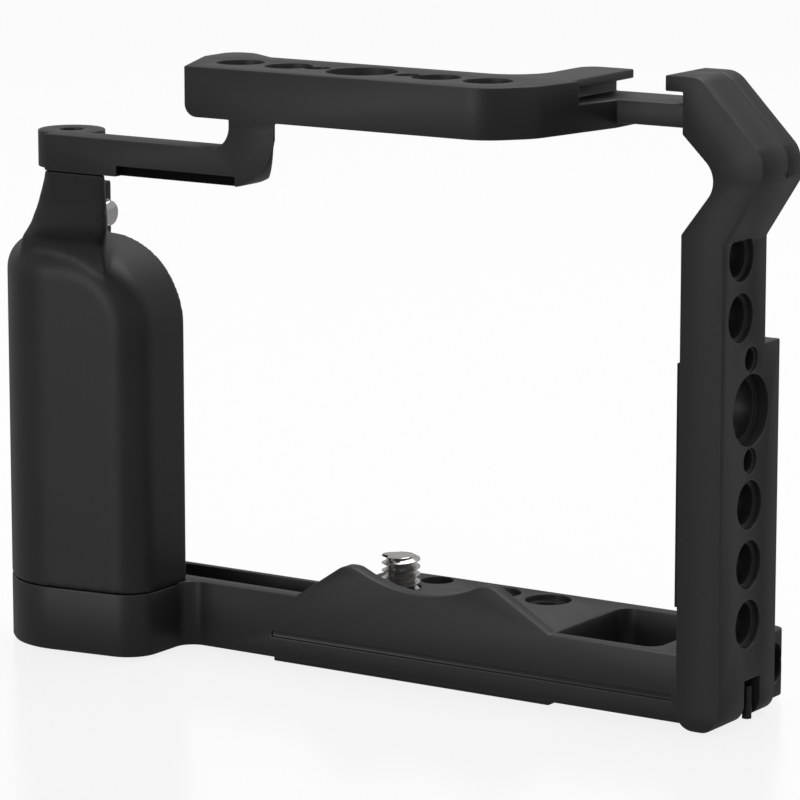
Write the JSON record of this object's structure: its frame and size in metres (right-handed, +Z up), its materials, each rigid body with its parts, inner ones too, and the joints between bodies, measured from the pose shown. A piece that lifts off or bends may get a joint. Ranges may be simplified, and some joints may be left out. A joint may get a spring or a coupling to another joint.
{
  "type": "camera cage",
  "caption": "Black metal frame that a small camera is screwed into, with a hand grip, a kinked side rail, a stepped top bar, a cold shoe and threaded accessory holes.",
  "frame": {"origin": "axis of the camera fixing screw at the camera's seat on top of the base", "axes": "+X from the hand grip to the side rail, +Y from the lens side to the back, +Z up along the fixing screw"},
  "size_m": [0.1389, 0.05, 0.1014],
  "materials": {
    "black_frame": "bead blasted and black anodised",
    "black_screws": "black oxide",
    "bright_steel": "turned stainless steel",
    "nylon": "black nylon",
    "soft_pad": "smooth silicone"
  },
  "bodies": {
    "cage": {"base_plate": "black_frame", "side_rail": "black_frame", "grip_handle": "black_frame", "top_frame": "black_frame", "rail_screws": "black_screws", "handle_screws": "black_screws", "top_screws": "black_screws", "arm_screw": "black_screws", "rail_dowels": "bright_steel", "handle_dowels": "bright_steel", "lip_pads": "soft_pad", "rail_pad": "soft_pad", "strap_pin": "bright_steel"},
    "washer": {"screw_washer": "nylon"},
    "fixing_screw": {"camera_screw": "bright_steel"},
    "clamp_pad": {"lug_pad": "bright_steel"},
    "clamp_screw": {"lug_screw": "bright_steel"}
  },
  "joints": [
    {"name": "fixing_float", "type": "slide", "parent": "cage", "child": "washer", "axis": [0, 0, 1], "range_m": [-0.0032, 0]},
    {"name": "fixing_turn", "type": "hinge", "parent": "washer", "child": "fixing_screw", "pos_m": [0, 0, 0], "axis": [0, 0, 1], "continuous": true},
    {"name": "pad_travel", "type": "slide", "parent": "cage", "child": "clamp_pad", "axis": [1, 0, 0], "range_m": [-0.00199, 0.00199]},
    {"name": "clamp_turn", "type": "hinge", "parent": "clamp_pad", "child": "clamp_screw", "pos_m": [-0.055, -0.012, 0.0594], "axis": [1, 0, 0], "range_deg": [-930, 930]}
  ],
  "couplings": [
    {"joint": "clamp_turn", "follows": "pad_travel", "rad_per_m": 7854}
  ]
}
